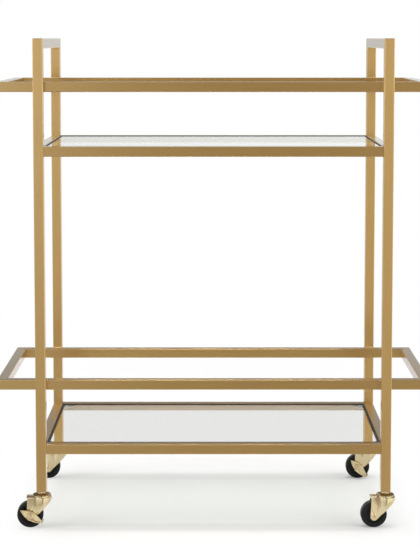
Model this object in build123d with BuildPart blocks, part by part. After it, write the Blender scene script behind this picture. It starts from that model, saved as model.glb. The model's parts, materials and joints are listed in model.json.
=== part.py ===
"""Two-shelf bar cart: a square-tube frame with glass shelves, two rail loops and four swivel casters.

Millimetres. The origin is on the floor under the middle of the cart, +X runs along its length,
+Y from front to back and +Z up.
"""

import os
from math import cos, radians, sin

from build123d import *

os.makedirs("parts", exist_ok=True)

# Overall frame
cart_height = 926.0
frame_length = 672.0
frame_depth = 370.0
rail_length = 822.0

# Heights: the lower shelf stands off the floor, the upper rail hangs off the top, and each rail
# runs the same height above its shelf
lower_shelf_top = 160.5
upper_rail_drop = 81.0
rail_rise = 120.0

# Square tube
tube = 19.0
tube_wall = 1.2
tube_corner = 1.5
mitre_round = 2.5

# Glass shelves, the rubber seal round each, and the corner tabs that carry them
glass_thickness = 5.0
glass_recess = 1.0
glass_corner = 3.0
glass_arris = 0.6
seal_width = 4.4
seal_rise = 0.8
seal_arris = 0.4
tab_leg = 26.0
tab_nose = 6.0
tab_thickness = 2.0
pad_size = 8.0
pad_thickness = 2.0
pad_margin = 1.6

# Inserts in the feet of the posts
insert_flange = 1.0
insert_flange_inset = 0.5
insert_chamfer = 0.6
insert_length = 20.0
insert_clearance = 0.15

# Clearances
running_clearance = 0.1
snug_clearance = 0.05
face_gap = 0.3

# Caster wheel
wheel_radius = 25.0
wheel_trail = 22.0
tread_width = 18.0
tread_thickness = 6.0
tread_crown_width = 14.4
tread_shoulder = 1.8
core_width = 15.0
core_rim = 3.0
web_width = 7.0
hub_radius = 8.0
bush_radius = 4.2
bush_length = 21.4
axle_radius = 3.0

# Caster fork, pressed from sheet
sheet = 2.0
fork_width = 26.0
fork_top = 59.0
fork_head_radius = 17.0
fork_head_offset = 2.0
fork_skirt = 5.0
fork_rear = 5.2
fork_lip = 1.6
fork_leg_straight = 12.5
fork_side_bend = 6.0
fork_top_flat = 1.2
lug_radius = 7.0
lug_drop = 3.5
cup_radius = 15.5
cup_height = 2.5

# Kingpin, race cap, lock nut and threaded stem
kingpin_radius = 4.0
kingpin_head_radius = 7.0
kingpin_head_height = 2.5
cap_radius = 17.0
cap_lip = 1.4
cap_dome = 2.2
cap_crown_radius = 7.5
lock_nut_flats = 14.0
lock_nut_height = 3.5
stem_length = 22.0

# Axle ends
axle_head_radius = 4.5
axle_head_height = 1.3

# Side brake lever
lever_short_end = 22.0
lever_long_end = 27.0
lever_upper_bulge = 8.2
lever_lower_bulge = 7.8
lever_bulge_at = 1.0
lever_nose = 1.0
lever_sheet = 1.4
lever_rim = 2.6
lever_tip = 4.2
cam_radius = 6.2
cam_height = 0.9
shoe_gap = 0.8
shoe_reach = 11.0
shoe_width = 8.0

# Axle nut on a braked caster
nut_washer_radius = 6.0
nut_washer_height = 1.0
nut_flats = 10.0
nut_height = 3.4
thread_end = 1.2

# The casters as they stand: name, side in X, side in Y, swivel from above, slope of the brake lever
casters = [
    ("front_left", -1, -1, 4.0, 29.0),
    ("front_right", 1, -1, 1.0, None),
    ("back_left", -1, 1, 2.0, None),
    ("back_right", 1, 1, -1.0, 45.0),
]

# Places that follow from the sizes above
upper_rail_top = cart_height - upper_rail_drop
upper_shelf_top = upper_rail_top - rail_rise
lower_rail_top = lower_shelf_top + rail_rise
tube_bore = tube - 2 * tube_wall
post_x = (frame_length - tube) / 2
post_y = (frame_depth - tube) / 2
inner_length = frame_length - 2 * tube
inner_depth = frame_depth - 2 * tube
glass_length = inner_length - 2 * seal_width
glass_depth = inner_depth - 2 * seal_width

cup_top = fork_top + cup_height
cap_bottom = cup_top + face_gap
cap_top = cap_bottom + cap_lip + cap_dome
kingpin_head_top = fork_top - sheet - face_gap
insert_bottom = cap_top + lock_nut_height
post_bottom = insert_bottom + insert_flange

core_radius = wheel_radius - tread_thickness
axle_x = -wheel_trail
leg_outer = fork_width / 2
cam_inner = leg_outer + face_gap
lever_inner = cam_inner + cam_height
lever_outer = lever_inner + lever_sheet
nut_inner = lever_outer + face_gap
nut_outer = nut_inner + nut_washer_height + nut_height


def write(piece, name):
    """Label a finished piece and write its STEP file."""
    piece.part.label = name
    export_step(piece.part, f"parts/{name}.step")


def square_tube(name, start, along, length, mitres=(), outline=None):
    """Write a hollow square tube, cut at its mitre planes and rounded where two tubes meet."""
    with BuildPart() as piece:
        with BuildSketch(Plane(origin=start, z_dir=along)):
            RectangleRounded(tube, tube, tube_corner)
            Rectangle(tube_bore, tube_bore, mode=Mode.SUBTRACT)
        extrude(amount=length)
        for mitre in mitres:
            split(bisect_by=mitre, keep=Keep.TOP)
        if outline:
            plane, width, height = outline
            with BuildSketch(plane):
                RectangleRounded(width, height, mitre_round)
            extrude(amount=tube, both=True, mode=Mode.INTERSECT)
    write(piece, name)


# Side frames: each is two posts and a top bar, mitred at the top corners
for side_name, side_x in (("left", -1), ("right", 1)):
    x = side_x * post_x
    side_plane = Plane(origin=(x, 0, 0), x_dir=(0, 1, 0), z_dir=(1, 0, 0))
    side_outline = (side_plane, frame_depth, 2 * cart_height)
    for end_name, end_y in (("front", -1), ("back", 1)):
        top_corner = (x, end_y * frame_depth / 2, cart_height)
        square_tube(
            f"{end_name}_{side_name}_post",
            start=(x, end_y * post_y, post_bottom),
            along=(0, 0, 1),
            length=cart_height - post_bottom,
            mitres=[Plane(origin=top_corner, z_dir=(0, end_y, -1))],
            outline=side_outline,
        )
    square_tube(
        f"{side_name}_top_bar",
        start=(x, -frame_depth / 2, cart_height - tube / 2),
        along=(0, 1, 0),
        length=frame_depth,
        mitres=[
            Plane(origin=(x, -frame_depth / 2, cart_height), z_dir=(0, 1, 1)),
            Plane(origin=(x, frame_depth / 2, cart_height), z_dir=(0, -1, 1)),
        ],
        outline=side_outline,
    )

# Rail loops: a mitred rectangle of tube inside the posts, longer than the frame at both ends
for level, rail_top in (("upper", upper_rail_top), ("lower", lower_rail_top)):
    z = rail_top - tube / 2
    half_length = rail_length / 2
    half_width = inner_depth / 2
    loop_outline = (Plane.XY.offset(z), rail_length, inner_depth)
    for end_name, end_y in (("front", -1), ("back", 1)):
        square_tube(
            f"{level}_rail_{end_name}",
            start=(-half_length, end_y * (half_width - tube / 2), z),
            along=(1, 0, 0),
            length=rail_length,
            mitres=[
                Plane(origin=(-half_length, end_y * half_width, z), z_dir=(1, end_y, 0)),
                Plane(origin=(half_length, end_y * half_width, z), z_dir=(-1, end_y, 0)),
            ],
            outline=loop_outline,
        )
    for side_name, side_x in (("left", -1), ("right", 1)):
        square_tube(
            f"{level}_rail_{side_name}_end",
            start=(side_x * (half_length - tube / 2), -half_width, z),
            along=(0, 1, 0),
            length=inner_depth,
            mitres=[
                Plane(origin=(side_x * half_length, -half_width, z), z_dir=(side_x, 1, 0)),
                Plane(origin=(side_x * half_length, half_width, z), z_dir=(side_x, -1, 0)),
            ],
            outline=loop_outline,
        )

# Shelf frames: four tubes between the posts, then the glass, its seal, corner tabs and clear pads
for level, shelf_top in (("upper", upper_shelf_top), ("lower", lower_shelf_top)):
    z = shelf_top - tube / 2
    for end_name, end_y in (("front", -1), ("back", 1)):
        square_tube(
            f"{level}_shelf_{end_name}_tube",
            start=(-inner_length / 2, end_y * post_y, z),
            along=(1, 0, 0),
            length=inner_length,
        )
    for side_name, side_x in (("left", -1), ("right", 1)):
        square_tube(
            f"{level}_shelf_{side_name}_tube",
            start=(side_x * post_x, -inner_depth / 2, z),
            along=(0, 1, 0),
            length=inner_depth,
        )

    glass_bottom = shelf_top - glass_recess - glass_thickness
    with BuildPart() as glass:
        with BuildSketch(Plane.XY.offset(glass_bottom)):
            RectangleRounded(glass_length, glass_depth, glass_corner)
        extrude(amount=glass_thickness)
        faces_across = glass.faces().filter_by(Axis.Z)
        chamfer(faces_across.edges(), glass_arris)
    write(glass, f"{level}_shelf_glass")

    with BuildPart() as seal:
        with BuildSketch(Plane.XY.offset(glass_bottom)):
            Rectangle(inner_length, inner_depth)
            RectangleRounded(glass_length, glass_depth, glass_corner, mode=Mode.SUBTRACT)
        extrude(amount=glass_thickness + seal_rise)
        chamfer(seal.faces().sort_by(Axis.Z)[-1].edges(), seal_arris)
    write(seal, f"{level}_glass_seal")

    pad_bottom = glass_bottom - pad_thickness
    pad_inset = seal_width + pad_margin + pad_size / 2
    with BuildPart() as tabs:
        with BuildSketch(Plane.XY.offset(pad_bottom - tab_thickness)):
            with BuildLine():
                corner_x = inner_length / 2
                corner_y = inner_depth / 2
                Polyline(
                    (corner_x, corner_y),
                    (corner_x - tab_leg, corner_y),
                    (corner_x - tab_leg, corner_y - tab_nose),
                    (corner_x - tab_nose, corner_y - tab_leg),
                    (corner_x, corner_y - tab_leg),
                    close=True,
                )
            make_face()
            mirror(about=Plane.XZ)
            mirror(about=Plane.YZ)
        extrude(amount=tab_thickness)
    write(tabs, f"{level}_glass_tabs")

    with BuildPart() as pads:
        with BuildSketch(Plane.XY.offset(pad_bottom)):
            with GridLocations(inner_length - 2 * pad_inset, inner_depth - 2 * pad_inset, 2, 2):
                Rectangle(pad_size, pad_size)
        extrude(amount=pad_thickness)
    write(pads, f"{level}_glass_pads")

# Inserts: a bored plug in the foot of each post, with a flange that closes the tube
flange_size = tube - 2 * insert_flange_inset
plug_size = tube_bore - 2 * insert_clearance
with BuildPart() as inserts:
    with BuildSketch(Plane.XY.offset(insert_bottom)):
        with GridLocations(2 * post_x, 2 * post_y, 2, 2):
            Rectangle(flange_size, flange_size)
    extrude(amount=insert_flange)
    chamfer(inserts.faces().sort_by(Axis.Z)[:4].edges(), insert_chamfer)
    with BuildSketch(Plane.XY.offset(post_bottom)):
        with GridLocations(2 * post_x, 2 * post_y, 2, 2):
            Rectangle(plug_size, plug_size)
    extrude(amount=insert_length)
    with BuildSketch(Plane.XY.offset(insert_bottom)):
        with GridLocations(2 * post_x, 2 * post_y, 2, 2):
            Circle(kingpin_radius + snug_clearance)
    extrude(amount=insert_flange + insert_length, mode=Mode.SUBTRACT)
write(inserts, "post_inserts")

# Stems: the fixed part of each caster, a kingpin with its head, race cap, lock nut and stem in one
stem_top = insert_bottom + stem_length
with BuildPart() as stems:
    for x in (-post_x, post_x):
        for y in (-post_y, post_y):
            with BuildSketch(Plane(origin=(x, y, 0), x_dir=(1, 0, 0), z_dir=(0, -1, 0))):
                with BuildLine():
                    Polyline(
                        (0, kingpin_head_top - kingpin_head_height),
                        (kingpin_head_radius, kingpin_head_top - kingpin_head_height),
                        (kingpin_head_radius, kingpin_head_top),
                        (kingpin_radius, kingpin_head_top),
                        (kingpin_radius, cap_bottom),
                        (cap_radius, cap_bottom),
                        (cap_radius, cap_bottom + cap_lip),
                        (cap_crown_radius, cap_top),
                        (kingpin_radius, cap_top),
                        (kingpin_radius, stem_top),
                        (0, stem_top),
                        close=True,
                    )
                make_face()
            revolve(axis=Axis((x, y, 0), (0, 0, 1)))
    with BuildSketch(Plane.XY.offset(cap_top)):
        with GridLocations(2 * post_x, 2 * post_y, 2, 2):
            RegularPolygon(lock_nut_flats / 2, 6, major_radius=False)
    extrude(amount=lock_nut_height)
write(stems, "caster_stems")


def caster_planes(side_x, side_y, swivel):
    """Return the caster's plan plane on the floor and its side plane, which faces the cart's front."""
    turn = radians(swivel)
    centre = (side_x * post_x, side_y * post_y, 0)
    ahead = (cos(turn), sin(turn), 0)
    plan = Plane(origin=centre, x_dir=ahead, z_dir=(0, 0, 1))
    side = Plane(origin=centre, x_dir=ahead, z_dir=(sin(turn), -cos(turn), 0))
    return plan, side


def fork_plan(plan, inset):
    """Return the fork's plan, drawn in by an inset: a round head that narrows to straight legs."""
    rear = axle_x - lug_radius - sheet
    bend = axle_x + fork_leg_straight
    width = fork_width - 2 * inset
    with BuildSketch(plan) as outline:
        with Locations((fork_head_offset, 0)):
            Circle(fork_head_radius - inset)
        with Locations((bend + sheet / 2, 0)):
            Rectangle(sheet, width)
        make_hull()
        with Locations(((rear + bend) / 2, 0)):
            Rectangle(bend - rear, width)
        side_bends = outline.vertices().group_by(Axis.X)[1]
        fillet(side_bends, fork_side_bend + inset)
    return outline.sketch


def caster_fork(name, plan, side):
    """Write the pressed fork: a side profile trimmed to the plan and hollowed to the sheet."""
    head_front = fork_head_offset + fork_head_radius
    strip_rear = axle_x - fork_rear
    lip_rear = strip_rear - fork_lip
    with BuildPart() as fork:
        with BuildSketch(side):
            with Locations((axle_x, wheel_radius - lug_drop)):
                Circle(lug_radius)
            with Locations(((strip_rear + head_front) / 2, fork_top - fork_skirt / 2)):
                Rectangle(head_front - strip_rear, fork_skirt)
            make_hull()
            with Locations(((lip_rear + axle_x) / 2, fork_top - sheet / 2)):
                Rectangle(axle_x - lip_rear, sheet)
        extrude(amount=2 * fork_width, both=True)
        extrude(fork_plan(plan, 0), amount=cart_height, mode=Mode.INTERSECT)
        # The bend between the top plate and the skirt is cut as a flat
        top_edges = fork.faces().sort_by(Axis.Z)[-1].edges()
        rear_edge = top_edges.sort_by(Axis(side.origin, side.x_dir))[0]
        chamfer(top_edges - [rear_edge], fork_top_flat)
        extrude(fork_plan(plan, sheet), amount=fork_top - sheet, mode=Mode.SUBTRACT)
        with BuildSketch(plan.offset(fork_top)):
            Circle(cup_radius)
        extrude(amount=cup_height)
        with BuildSketch(plan):
            Circle(kingpin_radius + running_clearance)
        extrude(amount=cart_height, mode=Mode.SUBTRACT)
        with BuildSketch(side):
            with Locations((axle_x, wheel_radius)):
                Circle(axle_radius + snug_clearance)
        extrude(amount=fork_width, both=True, mode=Mode.SUBTRACT)
    write(fork, name)


def caster_axle(name, side, braked):
    """Write the axle: a rivet with a low head at each leg, or a long end for the brake and its nut."""
    front_end = nut_outer + thread_end if braked else leg_outer
    with BuildPart() as axle:
        with BuildSketch(side.offset(-leg_outer)):
            with Locations((axle_x, wheel_radius)):
                Circle(axle_radius)
        extrude(amount=leg_outer + front_end)
        heads = [(side.offset(-leg_outer), -1)]
        if not braked:
            heads.append((side.offset(leg_outer), 1))
        for seat, outward in heads:
            with BuildSketch(seat):
                with Locations((axle_x, wheel_radius)):
                    Circle(axle_head_radius)
            extrude(amount=outward * axle_head_height)
    write(axle, name)


def axle_axis(side):
    """Return the wheel's turning axis in the cart's frame."""
    return Axis(side.from_local_coords((axle_x, wheel_radius, 0)), side.z_dir)


def wheel_profile_plane(plan):
    """Return the upright plane through the axle, with local X down the axle and local Y up."""
    centre = plan.from_local_coords((axle_x, 0, wheel_radius))
    return Plane(origin=centre, x_dir=plan.y_dir, z_dir=plan.x_dir)


def wheel_tread(name, plan, side):
    """Write the rubber tread, with a flat crown and sloping shoulders."""
    bore = core_radius + snug_clearance
    half_profile = [
        (tread_width / 2, bore),
        (tread_width / 2, wheel_radius - tread_shoulder),
        (tread_crown_width / 2, wheel_radius),
    ]
    other_half = [(-x, y) for x, y in reversed(half_profile)]
    with BuildPart() as tread:
        with BuildSketch(wheel_profile_plane(plan)):
            with BuildLine():
                Polyline(*half_profile, *other_half, close=True)
            make_face()
        revolve(axis=axle_axis(side))
    write(tread, name)


def wheel_core(name, plan, side):
    """Write the wheel's core: a rim and a hub joined by a thin web."""
    bore = bush_radius + snug_clearance
    hub_half = bush_length / 2 - face_gap
    rim_bore = core_radius - core_rim
    half_profile = [
        (hub_half, bore),
        (hub_half, hub_radius),
        (web_width / 2, hub_radius),
        (web_width / 2, rim_bore),
        (core_width / 2, rim_bore),
        (core_width / 2, core_radius),
    ]
    other_half = [(-x, y) for x, y in reversed(half_profile)]
    with BuildPart() as core:
        with BuildSketch(wheel_profile_plane(plan)):
            with BuildLine():
                Polyline(*half_profile, *other_half, close=True)
            make_face()
        revolve(axis=axle_axis(side))
    write(core, name)


def wheel_bush(name, side):
    """Write the steel bush that turns on the axle."""
    with BuildPart() as bush:
        with BuildSketch(side):
            with Locations((axle_x, wheel_radius)):
                Circle(bush_radius)
                Circle(axle_radius + running_clearance, mode=Mode.SUBTRACT)
        extrude(amount=bush_length / 2, both=True)
    write(bush, name)


def brake_lever(name, side, slope):
    """Write the brake lever: a pressed leaf with a rim, a cam round the axle and a bent shoe."""
    centre = side.from_local_coords((axle_x, wheel_radius, 0))
    along = side.x_dir * cos(radians(slope)) - side.y_dir * sin(radians(slope))
    leaf = Plane(origin=centre, x_dir=along, z_dir=side.z_dir)
    shoe_inner = wheel_radius + shoe_gap
    shoe_outer = shoe_inner + lever_sheet
    with BuildPart() as lever:
        for seat, thickness, inset, tip, mode in (
            (lever_inner, lever_sheet + lever_rim, 0, 0, Mode.ADD),
            (lever_outer, lever_rim, lever_sheet, lever_tip, Mode.SUBTRACT),
        ):
            tail = (tip - lever_short_end, lever_nose)
            nose = (lever_long_end - tip, -lever_nose)
            with BuildSketch(leaf.offset(seat)):
                with BuildLine():
                    ThreePointArc(tail, (lever_bulge_at, lever_upper_bulge - inset), nose)
                    ThreePointArc(nose, (lever_bulge_at, inset - lever_lower_bulge), tail)
                make_face()
            extrude(amount=thickness, mode=mode)
        with BuildSketch(leaf.offset(cam_inner)):
            Circle(cam_radius)
        extrude(amount=cam_height)
        with BuildSketch(leaf.offset(lever_outer - shoe_reach - lever_sheet)):
            Circle(shoe_outer)
            Circle(shoe_inner, mode=Mode.SUBTRACT)
            with Locations((shoe_outer, 0)):
                Rectangle(2 * lever_sheet + shoe_gap, shoe_width, mode=Mode.INTERSECT)
        extrude(amount=shoe_reach + lever_sheet)
        with BuildSketch(leaf.offset(cam_inner)):
            Circle(axle_radius + running_clearance)
        extrude(amount=lever_rim + lever_sheet + cam_height, mode=Mode.SUBTRACT)
    write(lever, name)


def axle_nut(name, side):
    """Write the washer-faced nut that keeps the brake lever on the axle."""
    washer_top = nut_inner + nut_washer_height
    with BuildPart() as nut:
        with BuildSketch(side.offset(nut_inner)):
            with Locations((axle_x, wheel_radius)):
                Circle(nut_washer_radius)
        extrude(amount=nut_washer_height)
        with BuildSketch(side.offset(washer_top)):
            with Locations((axle_x, wheel_radius)):
                RegularPolygon(nut_flats / 2, 6, major_radius=False)
        extrude(amount=nut_height)
        with BuildSketch(side.offset(nut_inner)):
            with Locations((axle_x, wheel_radius)):
                Circle(axle_radius + snug_clearance)
        extrude(amount=nut_washer_height + nut_height, mode=Mode.SUBTRACT)
    write(nut, name)


# Casters
for corner, side_x, side_y, swivel, lever_slope in casters:
    plan, side = caster_planes(side_x, side_y, swivel)
    braked = lever_slope is not None
    caster_fork(f"{corner}_caster_fork", plan, side)
    caster_axle(f"{corner}_caster_axle", side, braked)
    wheel_tread(f"{corner}_wheel_tread", plan, side)
    wheel_core(f"{corner}_wheel_core", plan, side)
    wheel_bush(f"{corner}_wheel_bush", side)
    if braked:
        brake_lever(f"{corner}_brake_lever", side, lever_slope)
        axle_nut(f"{corner}_axle_nut", side)
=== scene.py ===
# %% [markdown]
# A bar cart of brass-finished square tube, with two glass shelves and four swivel casters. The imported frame
# holds the real shapes and sizes. The cells below light it, give every surface its finish, and add the
# small shapes that a plain solid leaves out: rounded rubber, rolled edges, welds, nuts and threads.

# %% Load the frame
import json
from math import cos, pi, radians, sin

import bmesh
import bpy
from mathutils import Matrix, Vector

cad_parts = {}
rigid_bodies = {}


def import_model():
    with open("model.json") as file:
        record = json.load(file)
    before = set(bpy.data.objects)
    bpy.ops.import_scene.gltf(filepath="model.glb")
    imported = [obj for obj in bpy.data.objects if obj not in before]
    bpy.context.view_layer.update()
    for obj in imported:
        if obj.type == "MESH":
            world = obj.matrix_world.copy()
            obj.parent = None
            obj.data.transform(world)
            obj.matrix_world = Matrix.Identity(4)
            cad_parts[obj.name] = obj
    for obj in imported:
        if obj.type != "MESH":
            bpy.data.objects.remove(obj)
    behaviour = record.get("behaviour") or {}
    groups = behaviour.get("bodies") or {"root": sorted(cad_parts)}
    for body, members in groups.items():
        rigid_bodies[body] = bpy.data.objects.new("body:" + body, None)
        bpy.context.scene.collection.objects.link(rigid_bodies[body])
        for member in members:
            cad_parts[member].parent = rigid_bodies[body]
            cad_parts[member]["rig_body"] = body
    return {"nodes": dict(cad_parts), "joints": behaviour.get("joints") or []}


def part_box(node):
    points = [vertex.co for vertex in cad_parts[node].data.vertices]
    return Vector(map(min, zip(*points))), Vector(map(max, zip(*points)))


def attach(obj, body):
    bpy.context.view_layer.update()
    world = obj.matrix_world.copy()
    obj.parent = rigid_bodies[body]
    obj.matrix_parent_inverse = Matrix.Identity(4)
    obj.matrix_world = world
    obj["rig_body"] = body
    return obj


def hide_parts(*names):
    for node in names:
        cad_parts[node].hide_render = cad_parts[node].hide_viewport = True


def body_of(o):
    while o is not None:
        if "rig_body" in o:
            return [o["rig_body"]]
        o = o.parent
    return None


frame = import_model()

nodes = frame["nodes"]
joints = {joint["name"]: joint for joint in frame["joints"]}
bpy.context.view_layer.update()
mm = 0.001

# %% [markdown]
# A product photograph of furniture is taken from far off with a long lens, so that the uprights stay
# upright. The camera here stands about three metres in front of the cart, at the height of its top bars,
# and looks down a little. A small lens shift lifts the cart in the picture, as a view camera does, so that
# less tilt is needed.

# %% Camera
camera_place = Vector((-2.9, -3258.7, 930.2)) * mm
camera_tilt = radians(5.04)
camera_shift_x = -0.0036
camera_shift_y = -0.175
sensor_side = 36.0
lens_length = 106.35

camera_data = bpy.data.cameras.new("camera")
camera_data.sensor_fit = "AUTO"
camera_data.sensor_width = sensor_side
camera_data.lens = lens_length
camera_data.shift_x = camera_shift_x
camera_data.shift_y = camera_shift_y
camera = bpy.data.objects.new("camera", camera_data)
camera.location = camera_place
camera.rotation_euler = (pi / 2 - camera_tilt, 0, 0)
bpy.context.scene.collection.objects.link(camera)
bpy.context.scene.camera = camera
bpy.context.scene.view_settings.view_transform = "Standard"
print("The camera stands", round(-camera_place.y, 2), "m in front and", round(camera_place.z, 2), "m up")

# %% [markdown]
# Every material below is a few nodes. One helper adds a node, sets what it is told and links what it is
# given, so that a material reads as a short list. Colours are written as they look on a screen, in hex,
# and turned into the linear values that light is reckoned in.


# %% Helpers for nodes and colours
def linear(hex_colour):
    """Turn an sRGB hex colour into linear red, green, blue and alpha."""
    parts = [int(hex_colour[i:i + 2], 16) / 255 for i in (1, 3, 5)]
    return [c / 12.92 if c <= 0.04045 else ((c + 0.055) / 1.055) ** 2.4 for c in parts] + [1.0]


def fill_inputs(tree, node, inputs):
    """Set a node's inputs to values, or link them to other nodes' outputs."""
    for name, value in inputs.items():
        if isinstance(value, bpy.types.NodeSocket):
            tree.links.new(value, node.inputs[name])
        else:
            node.inputs[name].default_value = value


def add_node(tree, kind, inputs=None, stops=(), **settings):
    """Add a node with its settings, its inputs and, for a colour ramp, its stops."""
    node = tree.nodes.new(kind)
    for name, value in settings.items():
        setattr(node, name, value)
    fill_inputs(tree, node, inputs or {})
    for _ in stops[2:]:
        node.color_ramp.elements.new(1.0)
    for (position, colour), element in zip(stops, node.color_ramp.elements if stops else ()):
        element.position = position
        element.color = colour
    return node


def start_material(name):
    """Return a new material, its node tree and its shader."""
    material = bpy.data.materials.new(name)
    material.use_nodes = True
    shader = material.node_tree.nodes["Principled BSDF"]
    return material, material.node_tree, shader


# %% [markdown]
# Brushed metal shows what is around it, drawn out into soft bands, so the surroundings matter as much as
# the metal's colour. A lens and the glass see plain white. A gloss sees what a studio holds: a pale
# backdrop behind the cart with the dark of the studio above it, and on the camera's side a dim warm room
# between two cool windows of light. The left one comes nearer to the middle, and the right one reaches
# further down. Only the direction of a reflected ray decides it, so it holds from every side.

# %% Surroundings
room_by_height = [
    (-1.0, (0.50, 0.47, 0.42)), (-0.3, (0.44, 0.41, 0.35)), (-0.1, (0.48, 0.42, 0.32)),
    (0.05, (0.44, 0.37, 0.26)), (0.4, (0.42, 0.37, 0.30)), (1.0, (0.55, 0.54, 0.52)),
]
left_window_by_height = [
    (-1.0, (0.50, 0.48, 0.45)), (-0.35, (0.50, 0.47, 0.42)), (-0.15, (0.86, 0.86, 0.83)),
    (0.02, (1.32, 1.38, 1.48)), (0.5, (1.35, 1.40, 1.45)), (1.0, (1.00, 1.00, 1.00)),
]
right_window_by_height = [
    (-1.0, (0.50, 0.48, 0.45)), (-0.35, (0.80, 0.77, 0.70)), (-0.20, (1.40, 1.36, 1.26)),
    (0.02, (1.34, 1.39, 1.48)), (0.5, (1.35, 1.40, 1.45)), (1.0, (1.00, 1.00, 1.00)),
]
backdrop_by_height = [
    (-1.0, (0.80, 0.80, 0.80)), (-0.08, (0.85, 0.85, 0.85)), (-0.005, (0.61, 0.62, 0.61)),
    (0.065, (0.90, 0.92, 0.90)), (0.16, (0.55, 0.56, 0.54)), (0.27, (0.22, 0.20, 0.17)),
    (1.0, (0.42, 0.40, 0.38)),
]
fill_strength = 0.6
left_window = {"From Min": -0.02, "From Max": -0.20, "To Max": 1.0}
right_window = {"From Min": 0.08, "From Max": 0.38, "To Max": 0.9}
backdrop_side_to_side = {"From Min": -0.7, "From Max": 0.7, "To Min": 0.7, "To Max": 1.3}
camera_side_to_backdrop = {"From Min": -0.2, "From Max": 0.2}
plain_white = (1, 1, 1, 1)

world = bpy.data.worlds.new("studio")
world.use_nodes = True
bpy.context.scene.world = world
sky = world.node_tree
rays = add_node(sky, "ShaderNodeLightPath")
pointing = add_node(sky, "ShaderNodeTexCoord")
axes = add_node(sky, "ShaderNodeSeparateXYZ", {"Vector": pointing.outputs["Generated"]})
height = add_node(sky, "ShaderNodeMapRange", {"Value": axes.outputs["Z"], "From Min": -1.0, "From Max": 1.0})
room, left_light, right_light, backdrop = (
    add_node(
        sky, "ShaderNodeValToRGB", {"Fac": height.outputs["Result"]},
        stops=[((z + 1) / 2, (*light, 1)) for z, light in by_height],
    )
    for by_height in (room_by_height, left_window_by_height, right_window_by_height, backdrop_by_height)
)
left, right = (
    add_node(
        sky, "ShaderNodeMapRange", {"Value": axes.outputs["X"], **reach}, interpolation_type="SMOOTHSTEP",
    )
    for reach in (left_window, right_window)
)
left_side = add_node(
    sky, "ShaderNodeMix",
    {0: left.outputs["Result"], 6: room.outputs["Color"], 7: left_light.outputs["Color"]}, data_type="RGBA",
)
camera_side = add_node(
    sky, "ShaderNodeMix",
    {0: right.outputs["Result"], 6: left_side.outputs[2], 7: right_light.outputs["Color"]}, data_type="RGBA",
)
sideways = add_node(sky, "ShaderNodeMapRange", {"Value": axes.outputs["X"], **backdrop_side_to_side})
lit_backdrop = add_node(
    sky, "ShaderNodeVectorMath", {0: backdrop.outputs["Color"], "Scale": sideways.outputs["Result"]},
    operation="SCALE",
)
backward = add_node(
    sky, "ShaderNodeMapRange", {"Value": axes.outputs["Y"], **camera_side_to_backdrop},
    interpolation_type="SMOOTHSTEP",
)
gloss_light = add_node(
    sky, "ShaderNodeMix",
    {0: backward.outputs["Result"], 6: camera_side.outputs[2], 7: lit_backdrop.outputs["Vector"]},
    data_type="RGBA",
)
straight = add_node(
    sky, "ShaderNodeMath", {0: rays.outputs["Is Camera Ray"], 1: rays.outputs["Is Transmission Ray"]},
    operation="MAXIMUM",
)
unscattered = add_node(
    sky, "ShaderNodeMath", {0: rays.outputs["Diffuse Depth"], 1: 0.5}, operation="LESS_THAN",
)
plain = add_node(
    sky, "ShaderNodeMath", {0: straight.outputs["Value"], 1: unscattered.outputs["Value"]},
    operation="MULTIPLY",
)
filled = add_node(
    sky, "ShaderNodeMix",
    {0: rays.outputs["Is Glossy Ray"], 6: (fill_strength,) * 3 + (1,), 7: gloss_light.outputs[2]},
    data_type="RGBA",
)
shown = add_node(
    sky, "ShaderNodeMix", {0: plain.outputs["Value"], 6: filled.outputs[2], 7: plain_white},
    data_type="RGBA",
)
fill_inputs(sky, sky.nodes["Background"], {"Color": shown.outputs[2]})
print("The surroundings take", len(sky.nodes), "nodes")

# %% [markdown]
# Three softboxes light the cart as in a furniture studio: a strong one overhead, which lays the soft shadow
# under the shelves, and a taller, weaker one at each side for the rubber and the edges. The photograph
# shows no bright line on the tubes' upper corners, so the overhead lamp hangs behind a wide diffuser: it
# lights, but a gloss sees only the pale ceiling.


# %% Lamps
def softbox(name, place, aim, size, power, mirrored=True):
    """Hang a rectangular lamp that faces a point and may be seen in a gloss."""
    data = bpy.data.lights.new(name, "AREA")
    data.shape = "RECTANGLE"
    data.size, data.size_y = size
    data.energy = power
    lamp = bpy.data.objects.new(name, data)
    lamp.location = place
    lamp.rotation_euler = (Vector(aim) - Vector(place)).to_track_quat("-Z", "Y").to_euler()
    lamp.visible_glossy = mirrored
    bpy.context.scene.collection.objects.link(lamp)
    print(name, power, "W")


floor_middle, cart_middle = (0, 0, 0), (0, 0, 0.5)
overhead_place, overhead_size, overhead_power = (0, 0, 2.9), (1.3, 0.8), 42
side_lamp_x, side_lamp_y, side_lamp_z = 2.6, -1.2, 1.5
side_lamp_size, side_lamp_power = (1.2, 1.8), 12
softbox("overhead_softbox", overhead_place, floor_middle, overhead_size, overhead_power, mirrored=False)
for name, lamp_x in (("left_softbox", -side_lamp_x), ("right_softbox", side_lamp_x)):
    softbox(name, (lamp_x, side_lamp_y, side_lamp_z), cart_middle, side_lamp_size, side_lamp_power)

# %% [markdown]
# The floor is matt white paper. Under the cart it is really lit, so that it takes the soft shadow. Past the
# wheels and further off it turns into even white for the lens, as paper that sweeps up behind a product
# does. A gloss sees only the part near the feet, which is what makes the caster plates bright, and the
# room beyond it.

# %% Floor
floor_side = 40.0
floor_glow = 0.12
white_from, white_to = 0.95, 1.7
side_white_from, side_white_to = 0.27, 0.41
mirrored_from, mirrored_to = 0.75, 1.05
mirrored_half_length, mirrored_half_depth = 0.68, 0.42

floor_mesh = bpy.data.meshes.new("floor")
half = floor_side / 2
floor_corners = [(-half, -half, 0), (half, -half, 0), (half, half, 0), (-half, half, 0)]
floor_mesh.from_pydata(floor_corners, [], [(0, 1, 2, 3)])
ground = bpy.data.objects.new("floor", floor_mesh)
bpy.context.scene.collection.objects.link(ground)

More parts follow.
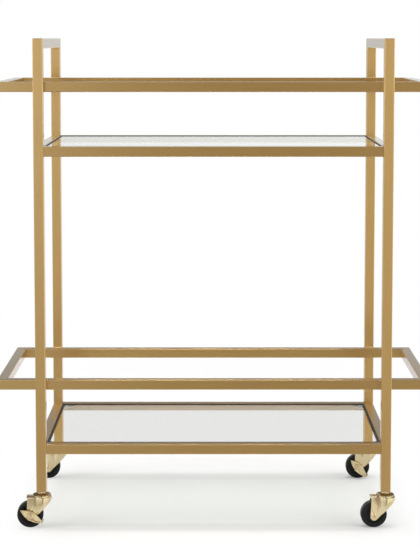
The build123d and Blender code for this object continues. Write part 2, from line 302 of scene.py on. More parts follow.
paper, tree, shader = start_material("matt_white_paper")
rays = add_node(tree, "ShaderNodeLightPath")
place = add_node(tree, "ShaderNodeTexCoord")
distance = add_node(tree, "ShaderNodeVectorMath", {0: place.outputs["Object"]}, operation="LENGTH")
whiteness = add_node(
    tree, "ShaderNodeMapRange",
    {"Value": distance.outputs["Value"], "From Min": white_from, "From Max": white_to},
    interpolation_type="SMOOTHSTEP",
)
axes = add_node(tree, "ShaderNodeSeparateXYZ", {"Vector": place.outputs["Object"]})
aside = add_node(tree, "ShaderNodeMath", {0: axes.outputs["X"]}, operation="ABSOLUTE")
side_whiteness = add_node(
    tree, "ShaderNodeMapRange",
    {"Value": aside.outputs["Value"], "From Min": side_white_from, "From Max": side_white_to},
    interpolation_type="SMOOTHSTEP",
)
whiter = add_node(
    tree, "ShaderNodeMath", {0: whiteness.outputs["Result"], 1: side_whiteness.outputs["Result"]},
    operation="MAXIMUM",
)
scaled = add_node(
    tree, "ShaderNodeVectorMath",
    {0: place.outputs["Object"], 1: (1 / mirrored_half_length, 1 / mirrored_half_depth, 0)},
    operation="MULTIPLY",
)
spread = add_node(tree, "ShaderNodeVectorMath", {0: scaled.outputs["Vector"]}, operation="LENGTH")
beyond = add_node(
    tree, "ShaderNodeMapRange",
    {"Value": spread.outputs["Value"], "From Min": mirrored_from, "From Max": mirrored_to},
    interpolation_type="SMOOTHSTEP",
)
unmirrored = add_node(
    tree, "ShaderNodeMath", {0: beyond.outputs["Result"], 1: rays.outputs["Is Glossy Ray"]},
    operation="MULTIPLY",
)
lens = add_node(
    tree, "ShaderNodeMath", {0: rays.outputs["Is Camera Ray"], 1: rays.outputs["Is Transmission Ray"]},
    operation="MAXIMUM",
)
seen = add_node(
    tree, "ShaderNodeMath", {0: lens.outputs["Value"], 1: rays.outputs["Is Glossy Ray"]}, operation="MAXIMUM",
)
glow = add_node(tree, "ShaderNodeMath", {0: seen.outputs["Value"], 1: floor_glow}, operation="MULTIPLY")
fill_inputs(tree, shader, {
    "Base Color": linear("#F0F0F0"), "Roughness": 0.9, "Specular IOR Level": 0.0,
    "Emission Color": plain_white, "Emission Strength": glow.outputs["Value"],
})
white = add_node(tree, "ShaderNodeEmission", {"Color": plain_white, "Strength": 1.0})
far_seen = add_node(
    tree, "ShaderNodeMath", {0: whiter.outputs["Value"], 1: lens.outputs["Value"]}, operation="MULTIPLY",
)
faded = add_node(
    tree, "ShaderNodeMixShader",
    {0: far_seen.outputs["Value"], 1: shader.outputs["BSDF"], 2: white.outputs["Emission"]},
)
gone = add_node(tree, "ShaderNodeBsdfTransparent")
stepped = add_node(
    tree, "ShaderNodeMixShader",
    {0: unmirrored.outputs["Value"], 1: faded.outputs["Shader"], 2: gone.outputs["BSDF"]},
)
fill_inputs(tree, tree.nodes["Material Output"], {"Surface": stepped.outputs["Shader"]})
floor_mesh.materials.append(paper)
print("The floor is", floor_side, "m square")

# %% [markdown]
# The tubes are steel, brushed along their length, plated a satin brass and lacquered. Brushing leaves
# fine parallel scratches, so the reflection is drawn out across them: the noise is stretched along the
# tube, and the shader is anisotropic. The lacquer is what turns the upper faces pale at a low angle.


# %% Satin brass
def satin_brass(name, grain):
    """Brushed and lacquered brass plating, with its grain along one axis."""
    material, tree, shader = start_material(name)
    place = add_node(tree, "ShaderNodeTexCoord")
    # Real brushing is under 0.1 mm wide. It is drawn 0.8 mm wide, so that it shows.
    scratch_width, scratch_length = 0.8 * mm, 90 * mm
    stretch = [1 / scratch_length if axis == grain else 1 / scratch_width for axis in "XYZ"]
    along = add_node(tree, "ShaderNodeMapping", {"Vector": place.outputs["Object"], "Scale": stretch})
    scratches = add_node(
        tree, "ShaderNodeTexNoise", {"Vector": along.outputs["Vector"], "Scale": 1.0, "Detail": 2.0},
    )
    # The plating's tone drifts a little along a tube.
    drift_length = 80 * mm
    patches = add_node(
        tree, "ShaderNodeTexNoise",
        {"Vector": place.outputs["Object"], "Scale": 1 / drift_length, "Detail": 1.0},
    )
    tone = add_node(
        tree, "ShaderNodeMix", {0: patches.outputs["Fac"], 6: linear("#BD9A5C"), 7: linear("#C8A566")},
        data_type="RGBA",
    )
    lined = add_node(
        tree, "ShaderNodeMix", {0: scratches.outputs["Fac"], 6: tone.outputs[2], 7: linear("#CFAC70")},
        data_type="RGBA",
    )
    gloss = add_node(
        tree, "ShaderNodeMapRange", {"Value": scratches.outputs["Fac"], "To Min": 0.27, "To Max": 0.34},
    )
    relief = add_node(
        tree, "ShaderNodeBump",
        {"Height": scratches.outputs["Fac"], "Strength": 0.04, "Distance": 0.02 * mm},
    )
    tangent = add_node(tree, "ShaderNodeCombineXYZ", {grain: 1.0})
    # A quarter turn of the anisotropy lays the stretched highlight across the grain.
    fill_inputs(tree, shader, {
        "Base Color": lined.outputs[2], "Roughness": gloss.outputs["Result"],
        "Normal": relief.outputs["Normal"], "Tangent": tangent.outputs["Vector"], "Metallic": 1.0,
        "Anisotropic": 0.75, "Anisotropic Rotation": 0.25, "Coat Weight": 1.0, "Coat Roughness": 0.12,
    })
    return material


brass_along = {axis: satin_brass(f"satin_brass_brushed_{axis.lower()}", axis) for axis in "XYZ"}
print("Brushed along:", ", ".join(brass_along))

# %% [markdown]
# Casters come from another maker, so their plating is another colour: a brighter, paler zinc, barely
# brushed, with the faint pink and green that a chromate dip leaves. The stems and race caps take the same
# zinc in darker browns: painted shade and painted reflection, for the dark they mirror and the shade over the
# balls.


# %% Bright brass-tone zinc
def bright_zinc(name, tones):
    """Yellow-passivated zinc on pressed steel, in three near tones."""
    patch_size, grain_size = 9 * mm, 1.2 * mm
    material, tree, shader = start_material(name)
    place = add_node(tree, "ShaderNodeTexCoord")
    dip = add_node(
        tree, "ShaderNodeTexNoise",
        {"Vector": place.outputs["Object"], "Scale": 1 / patch_size, "Detail": 1.5},
    )
    tint = add_node(
        tree, "ShaderNodeValToRGB", {"Fac": dip.outputs["Fac"]},
        stops=[(0.3, linear(tones[0])), (0.5, linear(tones[1])), (0.7, linear(tones[2]))],
    )
    grain = add_node(
        tree, "ShaderNodeTexNoise",
        {"Vector": place.outputs["Object"], "Scale": 1 / grain_size, "Detail": 3.0},
    )
    gloss = add_node(
        tree, "ShaderNodeMapRange", {"Value": grain.outputs["Fac"], "To Min": 0.07, "To Max": 0.18},
    )
    relief = add_node(
        tree, "ShaderNodeBump", {"Height": grain.outputs["Fac"], "Strength": 0.2, "Distance": 0.03 * mm},
    )
    fill_inputs(tree, shader, {
        "Base Color": tint.outputs["Color"], "Roughness": gloss.outputs["Result"],
        "Normal": relief.outputs["Normal"], "Metallic": 1.0,
    })
    return material


zinc = bright_zinc("yellow_passivated_zinc", ("#CFC49C", "#DBCBA2", "#D9C0A2"))
# The darker tones are painted shade and painted reflection, not a colour the zinc has.
zinc_with_painted_shade = bright_zinc("yellow_zinc_painted_shade", ("#8C7850", "#A08A60", "#967E58"))
print(zinc.name, zinc_with_painted_shade.name)

# %% [markdown]
# Shelf glass is ordinary float glass, toughened. It is clear through its face and green through its edge,
# because light crosses far more of it there. A surface tint can't do that, but absorption in the volume
# can. Light on its way to the floor passes straight through and loses a little at each face, both where
# it comes straight from a lamp and where it was scattered on the way.

# %% Float glass
glass, tree, shader = start_material("toughened_float_glass")
fill_inputs(tree, shader, {
    "Base Color": plain_white, "Roughness": 0.0, "IOR": 1.52, "Transmission Weight": 1.0,
})
rays = add_node(tree, "ShaderNodeLightPath")
clear = add_node(tree, "ShaderNodeBsdfTransparent", {"Color": linear("#F5F7F6")})
glassy = shader.outputs["BSDF"]
for passing in ("Is Diffuse Ray", "Is Shadow Ray"):
    switch = add_node(
        tree, "ShaderNodeMixShader", {0: rays.outputs[passing], 1: glassy, 2: clear.outputs["BSDF"]},
    )
    glassy = switch.outputs["Shader"]
green = add_node(tree, "ShaderNodeVolumeAbsorption", {"Color": linear("#CDE8DA"), "Density": 5.0})
fill_inputs(tree, tree.nodes["Material Output"], {"Surface": glassy, "Volume": green.outputs["Volume"]})
print(glass.name)

# %% [markdown]
# The rest is moulded or turned. Black rubber and nylon are never quite black: a mould leaves a faint grain
# and patches that shine more. Clear silicone lets most light through. Turned steel is grey and smooth.


# %% Silicone, rubber, nylon and steel
def moulded(name, tones, roughness, grain_size, grain_depth, **sockets):
    """A moulded or turned material of two near tones with the faint grain of how it was made."""
    material, tree, shader = start_material(name)
    place = add_node(tree, "ShaderNodeTexCoord")
    grain = add_node(
        tree, "ShaderNodeTexNoise",
        {"Vector": place.outputs["Object"], "Scale": 1 / grain_size, "Detail": 3.0},
    )
    shade = add_node(
        tree, "ShaderNodeMix", {0: grain.outputs["Fac"], 6: linear(tones[0]), 7: linear(tones[1])},
        data_type="RGBA",
    )
    gloss = add_node(
        tree, "ShaderNodeMapRange",
        {"Value": grain.outputs["Fac"], "To Min": roughness[0], "To Max": roughness[1]},
    )
    relief = add_node(
        tree, "ShaderNodeBump", {"Height": grain.outputs["Fac"], "Strength": 0.4, "Distance": grain_depth},
    )
    fill_inputs(tree, shader, {
        "Base Color": shade.outputs[2], "Roughness": gloss.outputs["Result"],
        "Normal": relief.outputs["Normal"],
        **{socket.replace("_", " "): value for socket, value in sockets.items()},
    })
    return material


rubber = moulded(
    "moulded_black_rubber", ("#0D0D0E", "#161617"), roughness=(0.28, 0.45), grain_size=0.6 * mm,
    grain_depth=0.02 * mm, Specular_IOR_Level=0.3,
)
nylon = moulded(
    "moulded_black_nylon", ("#0C0C0D", "#141415"), roughness=(0.32, 0.5), grain_size=1.5 * mm,
    grain_depth=0.02 * mm, Specular_IOR_Level=0.3,
)
silicone = moulded(
    "moulded_clear_silicone", ("#E9EBE8", "#F4F5F3"), roughness=(0.25, 0.4), grain_size=1.0 * mm,
    grain_depth=0.01 * mm, Transmission_Weight=0.7, IOR=1.41,
)
steel = moulded(
    "turned_steel", ("#9A9A98", "#B0B0AD"), roughness=(0.22, 0.34), grain_size=0.5 * mm,
    grain_depth=0.01 * mm, Metallic=1.0,
)
print(rubber.name, nylon.name, silicone.name, steel.name)

# %% [markdown]
# Most CAD nodes already have the right shape, down to the rounded corners of the tube, so they stay and
# only take a finish. Each tube's grain runs along its length, as a brushing belt leaves it.

# %% Finishes of the CAD nodes
grain_of = {
    "post": "Z", "top_bar": "Y", "rail_front": "X", "rail_back": "X", "_end": "Y", "front_tube": "X",
    "back_tube": "X", "left_tube": "Y", "right_tube": "Y", "tabs": "X", "inserts": "Z",
}
finish_of = {part: brass_along[axis] for part, axis in grain_of.items()}
finish_of.update({
    "_glass": glass, "seal": rubber, "pads": silicone, "tread": rubber, "core": nylon, "bush": steel,
    "stems": zinc, "fork": zinc, "axle": zinc, "lever": zinc, "nut": zinc,
})
for name, node in nodes.items():
    finish = next(finish_of[part] for part in finish_of if name.endswith(part))
    node.data.materials.clear()
    node.data.materials.append(finish)
print(len(nodes), "nodes have their finish")

# %% [markdown]
# Some pieces need a rounder shape than their CAD solid gives them. Such a piece is built as a new mesh,
# which rides on the same body as its CAD node, stands for that node and hides it. One function does this
# for every piece, so that each is merged, faces outwards and is shaded smooth in the same way.

# %% Hand a finished shape to the frame
smooth_below = radians(32)
merge_within = 0.001 * mm


def hand_over(piece, finish, body, replaced=()):
    """Shade a piece, give it its finish and let it ride on a body in place of CAD nodes."""
    piece.data.shade_smooth()
    piece.data.set_sharp_from_angle(angle=smooth_below)
    if finish.name not in piece.data.materials:
        piece.data.materials.clear()
        piece.data.materials.append(finish)
    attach(piece, body)
    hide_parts(*replaced)


def place_piece(name, shape, finish, replaced):
    """Turn a bmesh into a finished piece that stands for one CAD node."""
    bmesh.ops.remove_doubles(shape, verts=shape.verts, dist=merge_within)
    bmesh.ops.recalc_face_normals(shape, faces=shape.faces)
    mesh = bpy.data.meshes.new(name)
    shape.to_mesh(mesh)
    shape.free()
    piece = bpy.data.objects.new(name, mesh)
    bpy.context.scene.collection.objects.link(piece)
    hand_over(piece, finish, body_of(nodes[replaced])[0], (replaced,))
    return piece


# %% [markdown]
# The wheels, axles and nuts stand aslant, because each caster has swivelled a little. Everything on an
# axle is drawn about a plain upright axis, in millimetres, and a place turns it to its axle: local Z
# points out of the wheel towards the front, local Y up and local X the way the caster trails.

# %% Places of the axles and posts
corners = ("front_left", "front_right", "back_left", "back_right")
braked_corners = ("front_left", "back_right")
to_metres = Matrix.Scale(mm, 4)
axle_place = {}
post_place = {}
for corner in corners:
    spin = joints[f"{corner}_wheel_spin"]
    outward = -Vector(spin["axis"]).normalized()
    up = Vector((0, 0, 1))
    turned = Matrix((up.cross(outward), up, outward)).transposed().to_4x4()
    axle_place[corner] = Matrix.Translation(spin["pos_m"]) @ turned @ to_metres
    post = Vector(joints[f"{corner}_swivel_turn"]["pos_m"])
    post_place[corner] = Matrix.Translation((post.x, post.y, 0)) @ to_metres
print("Wheel centres stand", round(axle_place["front_left"].translation.z / mm, 1), "mm up")

# %% [markdown]
# Wheels, rivets, caps and nuts are all turned or moulded round an axis, so each is a profile that is spun.
# Real edges are never sharp, because a mould needs a radius and a cutter leaves one, so a second function
# rounds every corner of a profile first. A hexagon nut really is a turned blank with a cone at its top,
# whose sides are then cut flat, and the last two functions make it the same way.


# %% Turned shapes
def soften(profile, reach, steps=3):
    """Round every corner of a closed profile."""
    points = [Vector(point) for point in profile]
    rounded = []
    for before, corner, after in zip([points[-1], *points], points, [*points[1:], points[0]]):
        start = corner + (before - corner).normalized() * min(reach, (before - corner).length / 2)
        end = corner + (after - corner).normalized() * min(reach, (after - corner).length / 2)
        for step in range(steps + 1):
            t = step / steps
            rounded.append(start.lerp(corner, t).lerp(corner.lerp(end, t), t))
    return rounded


def lathe(shape, place, profile, steps, cut=None):
    """Spin a closed profile of (radius, height) about local Z, closing it where it meets the axis."""
    rings = []
    for radius, height in profile:
        ring = []
        for step in range(steps if radius > 0 else 1):
            angle = 2 * pi * step / steps
            reach = cut(radius, angle, height) if cut else radius
            ring.append(shape.verts.new(place @ Vector((reach * cos(angle), reach * sin(angle), height))))
        rings.append(ring)
    for below, above in zip(rings, [*rings[1:], rings[0]]):
        for step in range(steps):
            here, there = step, (step + 1) % steps
            corners_of_face = dict.fromkeys([
                below[here % len(below)], below[there % len(below)],
                above[there % len(above)], above[here % len(above)],
            ])
            if len(corners_of_face) > 2:
                shape.faces.new(corners_of_face)


def hexagon(flats, base):
    """Return the cut that leaves a hexagon of this width across its flats, above a height."""
    def cut(radius, angle, height):
        flat_side = flats / 2 / cos((angle + pi / 6) % (pi / 3) - pi / 6)
        return min(radius, flat_side) if height > base else radius
    return cut


def cone(corner_radius, top, inward, drop, rise, steps=5):
    """Return the profile points of the cone that a nut's top corners are cut to."""
    # Two points would do for the cone alone. Each one between them meets the flats a little further in,
    # and together they draw the curved top edge of a flat.
    return [(corner_radius - inward * step, top - drop + rise * step) for step in range(steps + 1)]


print("Turned shapes are ready")

# %% [markdown]
# The tread is a ring of black rubber moulded over the core. Its crown is nearly flat with rounded
# shoulders, a fine line shows where the mould halves met, and a shallow groove runs round each side. The
# groove is what draws the thin bright arc on the side of a caster wheel.

# %% Rubber treads
tread_radius = 25.0
tread_bore = 19.05
tread_half = 9.0
crown_half = 6.6
crown_drop = 0.12
mould_line_half = 0.25
groove_from, groove_to = 21.3, 22.3
groove_depth, groove_slope = 0.6, 0.2
bore_edge = 0.3
shoulder_width = 1.9
shoulder_inset, shoulder_drop = 0.5, 0.8
tread_rounding = 0.5
wheel_steps = 96

tread_side = [
    (tread_bore, 0.0), (tread_bore, tread_half - bore_edge), (tread_bore + bore_edge, tread_half),
    (groove_from, tread_half), (groove_from + groove_slope, tread_half - groove_depth),
    (groove_to - groove_slope, tread_half - groove_depth), (groove_to, tread_half),
    (tread_radius - shoulder_width, tread_half),
    (tread_radius - shoulder_inset, tread_half - shoulder_drop),
    (tread_radius - crown_drop, crown_half), (tread_radius - crown_drop, 2 * mould_line_half),
    (tread_radius, mould_line_half), (tread_radius, 0.0),
]
tread_profile = tread_side + [(radius, -height) for radius, height in reversed(tread_side)][1:-1]
for corner in corners:
    shape = bmesh.new()
    lathe(shape, axle_place[corner], soften(tread_profile, tread_rounding), wheel_steps)
    tread = place_piece(f"{corner}_rubber_tread", shape, rubber, f"{corner}_wheel_tread")
print("Each tread has", len(tread.data.polygons), "faces")

# %% [markdown]
# The core is nylon moulded in one shot: a rim that carries the tread, a thin web and a hub with the bush.
# A ring stands on each side of the web, which stiffens it, and the walls lean a little so that the core
# leaves its mould.

# %% Nylon cores
hub_bore, hub_radius, hub_foot, hub_half = 4.25, 8.0, 8.4, 10.4
web_half = 3.5
ring_from, ring_to, ring_half, ring_draft = 11.4, 13.0, 4.3, 0.2
rim_foot, rim_from, rim_to, rim_half = 15.7, 16.2, 19.0, 7.5
core_edge = 0.3
core_rounding = 0.3

core_side = [
    (hub_bore, 0.0), (hub_bore, hub_half - core_edge), (hub_bore + core_edge, hub_half),
    (hub_radius - 0.7, hub_half), (hub_radius, hub_half - 0.6), (hub_foot, web_half + 0.1),
    (ring_from, web_half), (ring_from + ring_draft, ring_half), (ring_to - ring_draft, ring_half),
    (ring_to, web_half), (rim_foot, web_half), (rim_from, rim_half - core_edge),
    (rim_from + core_edge, rim_half), (rim_to - core_edge, rim_half), (rim_to, rim_half - core_edge),
    (rim_to, 0.0),
]
core_profile = core_side + [(radius, -height) for radius, height in reversed(core_side)][1:-1]
for corner in corners:
    shape = bmesh.new()
    lathe(shape, axle_place[corner], soften(core_profile, core_rounding), wheel_steps)
    core = place_piece(f"{corner}_nylon_core", shape, nylon, f"{corner}_wheel_core")
print("Each core has", len(core.data.polygons), "faces")

# %% [markdown]
# The race cap is drawn from sheet and its rim is rolled down over the balls, which leaves a dark gap under
# it. The kingpin comes up through it from a round head inside the fork, and a lock nut clamps the cap to
# the stem. All of this stands still while the fork turns below, so it rides on the frame.

# %% Stems with race caps and lock nuts
cap_radius = 17.0
cap_bottom = 61.8
cap_rim_bottom = 61.2
cap_top = 65.4
lock_nut_flats = 14.0
lock_nut_top = 68.9
stem_radius, stem_top = 4.0, 90.9
head_radius, head_bottom, head_top = 7.0, 54.2, 56.7
small_steps = 60

stem_profile = [
    (0, head_bottom), (5.6, head_bottom), (6.6, head_bottom + 0.3), (head_radius, head_bottom + 1.0),
    (head_radius, head_top - 0.3), (head_radius - 0.3, head_top), (stem_radius, head_top),
    (stem_radius, cap_bottom), (15.8, cap_bottom), (16.0, cap_rim_bottom + 0.2),
    (16.4, cap_rim_bottom), (16.85, cap_rim_bottom + 0.3), (cap_radius, 62.0), (16.8, 62.9), (16.1, 63.6),
    (14.4, 64.1), (11.0, 64.7), (8.4, 65.1), (7.8, 65.3), (7.3, cap_top), (stem_radius, cap_top),
    (stem_radius, stem_top - 0.8), (stem_radius - 0.7, stem_top), (0, stem_top),
]
lock_nut_corner = lock_nut_flats / 2 / cos(pi / 6)
lock_nut_profile = [
    (stem_radius, cap_top), (6.9, cap_top), (lock_nut_corner, cap_top + 0.5),
    *cone(lock_nut_corner, lock_nut_top, inward=0.24, drop=0.76, rise=0.14),
    (6.5, lock_nut_top), (stem_radius + 0.6, lock_nut_top), (stem_radius, lock_nut_top - 0.5),
]
stems_shape, nuts_shape = bmesh.new(), bmesh.new()
for corner in corners:
    lathe(stems_shape, post_place[corner], stem_profile, small_steps)
    lathe(nuts_shape, post_place[corner], lock_nut_profile, small_steps, hexagon(lock_nut_flats, cap_top))
# The stems and race caps take the zinc with painted shade and painted reflection.
stems = place_piece("stems_with_race_caps", stems_shape, zinc_with_painted_shade, "caster_stems")
lock_nuts = place_piece("lock_nuts", nuts_shape, zinc, "caster_stems")
print("The four stems have", len(stems.data.polygons), "faces, their nuts", len(lock_nuts.data.polygons))

# %% [markdown]
# A plain axle is a hollow rivet: its ends are rolled over the fork's legs and leave a small dark hole in
# a round bead. On a braked caster the front end is longer: it carries the lever, and its thread takes the
# nut.

# %% Axles
axle_radius = 3.0
leg_outer = 13.0
bead_radius = 4.5
bead_top = 14.3
hole_radius = 1.5
hole_depth = 3.2
thread_radius, thread_end = 2.6, 21.5

rivet_end = [
    (0, bead_top - hole_depth), (hole_radius, bead_top - hole_depth), (hole_radius, bead_top - 0.5),
    (hole_radius + 0.25, bead_top - 0.12), (2.4, bead_top), (3.4, bead_top - 0.08), (4.1, bead_top - 0.4),
    (bead_radius, bead_top - 0.9), (bead_radius - 0.1, leg_outer), (axle_radius, leg_outer),
]
threaded_end = [
    (0, thread_end), (2.2, thread_end), (2.55, thread_end - 0.4), (thread_radius, leg_outer + 1.0),
    (axle_radius, leg_outer),
]
for corner in corners:
    front_end = threaded_end if corner in braked_corners else rivet_end
    axle_profile = front_end + [(radius, -height) for radius, height in reversed(rivet_end)]
    shape = bmesh.new()
    lathe(shape, axle_place[corner], axle_profile, small_steps)
    axle = place_piece(f"{corner}_plated_axle", shape, zinc, f"{corner}_caster_axle")
print("Each axle has about", len(axle.data.polygons), "faces")

# %% [markdown]
# The nut that keeps the lever on is forged in one with its washer, and only the part above the washer is
# cut to a hexagon. Its top is chamfered, so that its bright corners fade into curved lines.

# %% Axle nuts
nut_bore = 3.05
washer_radius = 6.0
washer_bottom = 15.9
washer_top = 16.9
nut_flats = 10.0
nut_top = 20.3
nut_corner = nut_flats / 2 / cos(pi / 6)
nut_profile = [
    (nut_bore, washer_bottom), (washer_radius - 0.2, washer_bottom), (washer_radius, washer_bottom + 0.2),
    (washer_radius, washer_top - 0.35), (washer_radius - 0.3, washer_top), (nut_corner, washer_top + 0.1),
    *cone(nut_corner, nut_top, inward=0.18, drop=0.55, rise=0.1),
    (4.7, nut_top), (nut_bore + 0.5, nut_top), (nut_bore, nut_top - 0.4),
]
for corner in braked_corners:
    shape = bmesh.new()
    lathe(shape, axle_place[corner], nut_profile, small_steps, hexagon(nut_flats, washer_top))
    nut = place_piece(f"{corner}_flanged_nut", shape, zinc, f"{corner}_axle_nut")
print("Each nut has", len(nut.data.polygons), "faces")

# %% [markdown]
# The forks and the brake levers are pressed from sheet, so no edge of theirs is sharp: a punch leaves
# small radii and the plating rounds them further. Their CAD shape is right, so a copy of it is merged,
# its flat faces are joined, and every sharp edge gets a small bevel, which is what catches the light.

# %% Pressed forks and levers
node_merge_within = 0.002 * mm
flat_within, sharp_above = radians(1), radians(30)
fork_edge, lever_edge = 0.3 * mm, 0.25 * mm


def soften_node(node, reach):
    """Return a merged copy of a CAD node's mesh with its sharp edges rounded."""
    shape = bmesh.new()
    shape.from_mesh(nodes[node].data)
    bmesh.ops.remove_doubles(shape, verts=shape.verts, dist=node_merge_within)
    bmesh.ops.dissolve_limit(shape, angle_limit=flat_within, verts=shape.verts, edges=shape.edges)
    sharp = [edge for edge in shape.edges if edge.is_manifold and edge.calc_face_angle() > sharp_above]
    bmesh.ops.bevel(
        shape, geom=sharp, offset=reach, offset_type="OFFSET", segments=2, profile=0.5, affect="EDGES",
        clamp_overlap=True,
    )
    return shape


for corner in corners:
    node = f"{corner}_caster_fork"
    fork = place_piece(f"{corner}_pressed_fork", soften_node(node, fork_edge), zinc, node)
for corner in braked_corners:
    node = f"{corner}_brake_lever"
    lever = place_piece(f"{corner}_pressed_lever", soften_node(node, lever_edge), zinc, node)
print("A fork has", len(fork.data.polygons), "faces and a lever", len(lever.data.polygons))

# %% [markdown]
# What repeats is left to Geometry Nodes. Each tree below takes plain lines or points that say where, and
# sets a small shape along them. The result is turned into a plain mesh before the frame takes it, because
# an export keeps no modifiers and no instances.


# %% Repeat a shape along lines
def start_tree(name, sizes):
    """Return a Geometry Nodes tree with named sizes as inputs, and its two end nodes."""
    tree = bpy.data.node_groups.new(name, "GeometryNodeTree")
    tree.interface.new_socket("Geometry", in_out="INPUT", socket_type="NodeSocketGeometry")
    for size in sizes:
        tree.interface.new_socket(size, in_out="INPUT", socket_type="NodeSocketFloat")
    tree.interface.new_socket("Geometry", in_out="OUTPUT", socket_type="NodeSocketGeometry")
    return tree, add_node(tree, "NodeGroupInput"), add_node(tree, "NodeGroupOutput")


def end_tree(tree, instances, finish, result):
    """End a tree in real, painted geometry."""
    real = add_node(tree, "GeometryNodeRealizeInstances", {"Geometry": instances})
    painted = add_node(
        tree, "GeometryNodeSetMaterial", {"Geometry": real.outputs["Geometry"], "Material": finish},
    )
    fill_inputs(tree, result, {"Geometry": painted.outputs["Geometry"]})


def grow_piece(name, points, edges, tree, sizes, finish, body, replaced=()):
    """Run a tree on lines or points given in millimetres and hand the result over."""
    start = bpy.data.meshes.new(name)
    start.from_pydata([Vector(point) * mm for point in points], edges, [])
    piece = bpy.data.objects.new(name, start)
    bpy.context.scene.collection.objects.link(piece)
    growth = piece.modifiers.new(name, "NODES")
    growth.node_group = tree
    for socket in tree.interface.items_tree:
        if socket.in_out == "INPUT" and socket.name in sizes:
            growth[socket.identifier] = sizes[socket.name]
    bpy.context.view_layer.update()
    seen = bpy.context.evaluated_depsgraph_get()
    piece.data = bpy.data.meshes.new_from_object(piece.evaluated_get(seen), depsgraph=seen)
    piece.modifiers.remove(growth)
    hand_over(piece, finish, body, replaced)
    print(name, "has", len(piece.data.polygons), "faces")
    return piece


print("Pieces can grow")

# %% [markdown]
# The tubes are welded before they are plated. The outer seams are ground flush and can't be seen, but
# inside a corner there is no room for a grinder, so the weld's ripples stay: small overlapping beads, a
# little uneven, in the same brass as the tube. They run where rails lie against the posts, under the
# ends of the shelf tubes, and along the glass tabs.

# %% Weld ripples
post_x, post_y = 326.5, 175.5
rail_face_y = 166.0
inner_x, inner_y = 317.0, 166.0
tube_side = 19.0
shelf_tops = (160.5, 725.0)
rail_tops = (280.5, 845.0)
tab_depth = 10.0
tab_seam_from, tab_seam_to = 2.0, 25.0
seam_half = 7.0

ripples, sizes_in, result = start_tree("weld_ripples", ("Spacing", "Bead Radius", "Unevenness"))
seam = add_node(ripples, "GeometryNodeMeshToCurve", {"Mesh": sizes_in.outputs["Geometry"]})
steps_along = add_node(
    ripples, "GeometryNodeResampleCurve",
    {"Curve": seam.outputs["Curve"], "Length": sizes_in.outputs["Spacing"]}, mode="LENGTH",
)
bead = add_node(
    ripples, "GeometryNodeMeshUVSphere",
    {"Segments": 8, "Rings": 6, "Radius": sizes_in.outputs["Bead Radius"]},
)
smallest = add_node(
    ripples, "ShaderNodeMath", {0: 1.0, 1: sizes_in.outputs["Unevenness"]}, operation="SUBTRACT",
)
largest = add_node(ripples, "ShaderNodeMath", {0: 1.0, 1: sizes_in.outputs["Unevenness"]}, operation="ADD")
uneven = add_node(
    ripples, "FunctionNodeRandomValue",
    {"Min": smallest.outputs["Value"], "Max": largest.outputs["Value"], "Seed": 7}, data_type="FLOAT",
)
beads = add_node(
    ripples, "GeometryNodeInstanceOnPoints",
    {
        "Points": steps_along.outputs["Curve"], "Instance": bead.outputs["Mesh"],
        "Scale": uneven.outputs["Value"],
    },
)
end_tree(ripples, beads.outputs["Instances"], brass_along["X"], result)

seams = []
for side_x in (-1, 1):
    for side_y in (-1, 1):
        x, y = side_x * post_x, side_y * rail_face_y
        for top in rail_tops:
            for z in (top, top - tube_side):
                seams.append(((x - seam_half, y, z), (x + seam_half, y, z)))
        for top in shelf_tops:
            under = top - tube_side
            x, y = side_x * inner_x, side_y * post_y
            seams.append(((x, y - seam_half, under), (x, y + seam_half, under)))
            x, y = side_x * post_x, side_y * inner_y
            seams.append(((x - seam_half, y, under), (x + seam_half, y, under)))
            x, y, z = side_x * inner_x, side_y * inner_y, top - tab_depth
            seams.append(((x - side_x * tab_seam_from, y, z), (x - side_x * tab_seam_to, y, z)))
            seams.append(((x, y - side_y * tab_seam_from, z), (x, y - side_y * tab_seam_to, z)))
points = [end for seam_ends in seams for end in seam_ends]
edges = [(2 * i, 2 * i + 1) for i in range(len(seams))]
frame_body = body_of(nodes["front_left_post"])[0]
weld_sizes = {"Spacing": 1.3 * mm, "Bead Radius": 1.1 * mm, "Unevenness": 0.12}
grow_piece("weld_ripples", points, edges, ripples, weld_sizes, brass_along["X"], frame_body)

# %% [markdown]
# The long end of a braked axle is threaded for its nut, and the last turn shows beyond it. The turns are
# drawn as rings, since the slope of so fine a thread can't be seen.

# %% Axle threads
threads, sizes_in, result = start_tree("axle_thread", ("Pitch", "Root Radius", "Crest Height"))
path = add_node(threads, "GeometryNodeMeshToCurve", {"Mesh": sizes_in.outputs["Geometry"]})
turns = add_node(
    threads, "GeometryNodeResampleCurve",
    {"Curve": path.outputs["Curve"], "Length": sizes_in.outputs["Pitch"]}, mode="LENGTH",
)
crest_line = add_node(
    threads, "GeometryNodeCurvePrimitiveCircle",
    {"Resolution": 32, "Radius": sizes_in.outputs["Root Radius"]},
)
crest_section = add_node(
    threads, "GeometryNodeCurvePrimitiveCircle",
    {"Resolution": 6, "Radius": sizes_in.outputs["Crest Height"]},
)
crest = add_node(
    threads, "GeometryNodeCurveToMesh",
    {"Curve": crest_line.outputs["Curve"], "Profile Curve": crest_section.outputs["Curve"]},
)
direction = add_node(threads, "GeometryNodeInputTangent")
facing = add_node(
    threads, "FunctionNodeAlignRotationToVector", {"Vector": direction.outputs["Tangent"]}, axis="Z",
)
rings = add_node(
    threads, "GeometryNodeInstanceOnPoints",
    {
        "Points": turns.outputs["Curve"], "Instance": crest.outputs["Mesh"],
        "Rotation": facing.outputs["Rotation"],
    },
)
end_tree(threads, rings.outputs["Instances"], zinc, result)

first_turn, last_turn = 14.6, thread_end - 0.5
thread_sizes = {"Pitch": 1.0 * mm, "Root Radius": thread_radius * mm, "Crest Height": 0.36 * mm}
for corner in braked_corners:
    ends = [axle_place[corner] @ Vector((0, 0, height)) / mm for height in (first_turn, last_turn)]
    axle_body = body_of(nodes[f"{corner}_caster_axle"])[0]
    grow_piece(f"{corner}_axle_thread", ends, [(0, 1)], threads, thread_sizes, zinc, axle_body)

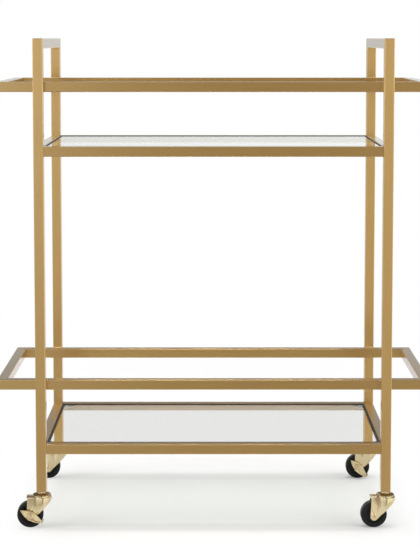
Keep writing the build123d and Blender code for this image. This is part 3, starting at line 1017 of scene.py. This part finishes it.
# %% [markdown]
# Under each corner of the glass sits a clear silicone bumper. It is bought as a small round button, so it
# is drawn as a disc with a rounded edge, one on each tab.

# %% Silicone bumpers
bumper_radius = 4.0
edge_tightness = 6.0

bumpers, sizes_in, result = start_tree("silicone_bumpers", ("Radius", "Height", "Rounding"))
disc = add_node(
    bumpers, "GeometryNodeMeshCylinder",
    {
        "Vertices": 32, "Side Segments": 12, "Radius": sizes_in.outputs["Radius"],
        "Depth": sizes_in.outputs["Height"],
    },
)
place = add_node(bumpers, "GeometryNodeInputPosition")
axes = add_node(bumpers, "ShaderNodeSeparateXYZ", {"Vector": place.outputs["Position"]})
from_middle = add_node(bumpers, "ShaderNodeMath", {0: axes.outputs["Z"]}, operation="ABSOLUTE")
share = add_node(
    bumpers, "ShaderNodeMath", {0: from_middle.outputs["Value"], 1: sizes_in.outputs["Height"]},
    operation="DIVIDE",
)
doubled = add_node(bumpers, "ShaderNodeMath", {0: share.outputs["Value"], 1: 2.0}, operation="MULTIPLY")
near_face = add_node(
    bumpers, "ShaderNodeMath", {0: doubled.outputs["Value"], 1: edge_tightness}, operation="POWER",
)
drawn_in = add_node(
    bumpers, "ShaderNodeMath", {0: near_face.outputs["Value"], 1: sizes_in.outputs["Rounding"]},
    operation="MULTIPLY",
)
width = add_node(bumpers, "ShaderNodeMath", {0: 1.0, 1: drawn_in.outputs["Value"]}, operation="SUBTRACT")
stretch = add_node(
    bumpers, "ShaderNodeCombineXYZ", {"X": width.outputs["Value"], "Y": width.outputs["Value"], "Z": 1.0},
)
rounder = add_node(
    bumpers, "ShaderNodeVectorMath", {0: place.outputs["Position"], 1: stretch.outputs["Vector"]},
    operation="MULTIPLY",
)
button = add_node(
    bumpers, "GeometryNodeSetPosition",
    {"Geometry": disc.outputs["Mesh"], "Position": rounder.outputs["Vector"]},
)
buttons = add_node(
    bumpers, "GeometryNodeInstanceOnPoints",
    {"Points": sizes_in.outputs["Geometry"], "Instance": button.outputs["Geometry"]},
)
end_tree(bumpers, buttons.outputs["Instances"], silicone, result)

bumper_sizes = {"Radius": bumper_radius * mm, "Height": 2.0 * mm, "Rounding": 0.12}
for level in ("upper", "lower"):
    low, high = (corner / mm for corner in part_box(f"{level}_glass_pads"))
    centres = [
        (side_x * (high.x - bumper_radius), side_y * (high.y - bumper_radius), (low.z + high.z) / 2)
        for side_x in (-1, 1) for side_y in (-1, 1)
    ]
    grow_piece(
        f"{level}_silicone_bumpers", centres, [], bumpers, bumper_sizes, silicone, frame_body,
        (f"{level}_glass_pads",),
    )

# %% [markdown]
# The added shapes should leave the cart's real size alone. Here the scene is brought up to date with every
# piece in place.

# %% Bring the scene up to date
bpy.context.view_layer.update()
